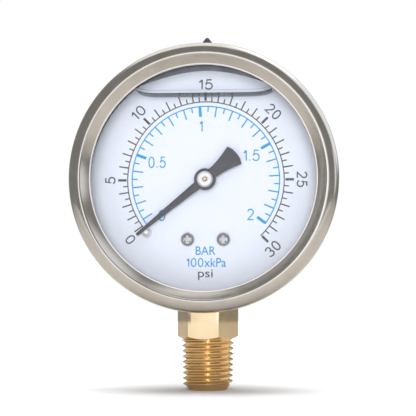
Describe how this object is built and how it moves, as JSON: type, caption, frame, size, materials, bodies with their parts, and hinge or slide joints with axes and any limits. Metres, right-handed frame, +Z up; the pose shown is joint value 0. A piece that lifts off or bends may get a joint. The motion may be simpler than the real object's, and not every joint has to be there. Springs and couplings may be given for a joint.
{
  "type": "pressure gauge",
  "caption": "Liquid-filled Bourdon-tube pressure gauge with a steel case and bezel, double-scale dial, black pointer and threaded brass bottom stem with hexagon.",
  "frame": {"origin": "centre of the threaded stem's end face", "axes": "+Z up the stem's axis to the dial, -Y out of the dial towards the reader, +X to the reader's right"},
  "size_m": [0.0682, 0.0346, 0.0926],
  "materials": {
    "polished_steel": "polished stainless steel with faint turning marks",
    "clear_window": "clear flat window",
    "black_rubber": "matt black rubber",
    "dial_white": "satin white paint with black and blue print",
    "pointer_black": "satin black paint",
    "bright_hub": "bright nickel plate",
    "screw_steel": "zinc-plated steel",
    "socket_brass": "machined brass, dull where it is threaded",
    "movement_brass": "stamped and turned brass",
    "spring_bronze": "drawn phosphor bronze"
  },
  "bodies": {
    "housing": {"case": "polished_steel", "bezel_ring": "polished_steel", "window": "clear_window", "window_gasket": "black_rubber", "dial_plate": "dial_white", "dial_screw_left": "screw_steel", "dial_screw_right": "screw_steel", "socket": "socket_brass", "socket_seal": "black_rubber", "restrictor_screw": "screw_steel", "bourdon_tube": "spring_bronze", "filler_plug": "black_rubber", "movement_front_plate": "movement_brass", "movement_back_plate": "movement_brass", "pillar_left": "movement_brass", "pillar_right": "movement_brass", "plate_screw_left": "screw_steel", "plate_screw_right": "screw_steel", "movement_screw_left": "screw_steel", "movement_screw_right": "screw_steel", "stop_pin": "bright_hub", "hairspring": "spring_bronze", "hairspring_stud": "movement_brass", "back_screw_left": "screw_steel", "back_screw_right": "screw_steel", "back_seal_left": "black_rubber", "back_seal_right": "black_rubber"},
    "pointer_body": {"pointer": "pointer_black", "pointer_hub": "bright_hub", "pinion_shaft": "movement_brass", "hairspring_collet": "movement_brass"},
    "sector_body": {"sector_gear": "movement_brass", "sector_arbor": "screw_steel", "link_screw": "screw_steel"},
    "link_body": {"link": "movement_brass"},
    "tip_body": {"tube_tip": "movement_brass", "tip_pin": "screw_steel"}
  },
  "joints": [
    {"name": "pointer_turn", "type": "hinge", "parent": "housing", "child": "pointer_body", "pos_m": [0, 0, 0.0545], "axis": [0, 1, 0], "range_deg": [0, 263.8], "stiffness_Nm_per_rad": 0.00021, "springref_deg": -5.73, "deforming": ["hairspring"]},
    {"name": "sector_turn", "type": "hinge", "parent": "housing", "child": "sector_body", "pos_m": [0, 0, 0.0445], "axis": [0, 1, 0], "range_deg": [-29.4, 0]},
    {"name": "link_swing", "type": "hinge", "parent": "sector_body", "child": "link_body", "pos_m": [0.00117, 0, 0.04015], "axis": [0, 1, 0], "range_deg": [0, 24.8]},
    {"name": "tip_flex", "type": "hinge", "parent": "housing", "child": "tip_body", "pos_m": [-0.00287, 0, 0.05989], "axis": [0, 1, 0], "range_deg": [-6.3, 0], "deforming": ["bourdon_tube"]}
  ],
  "couplings": [
    {"joint": "sector_turn", "follows": "pointer_turn", "ratio": -0.11111},
    {"joint": "link_swing", "follows": "pointer_turn", "ratio": 0.09384},
    {"joint": "tip_flex", "follows": "pointer_turn", "ratio": -0.023823}
  ]
}
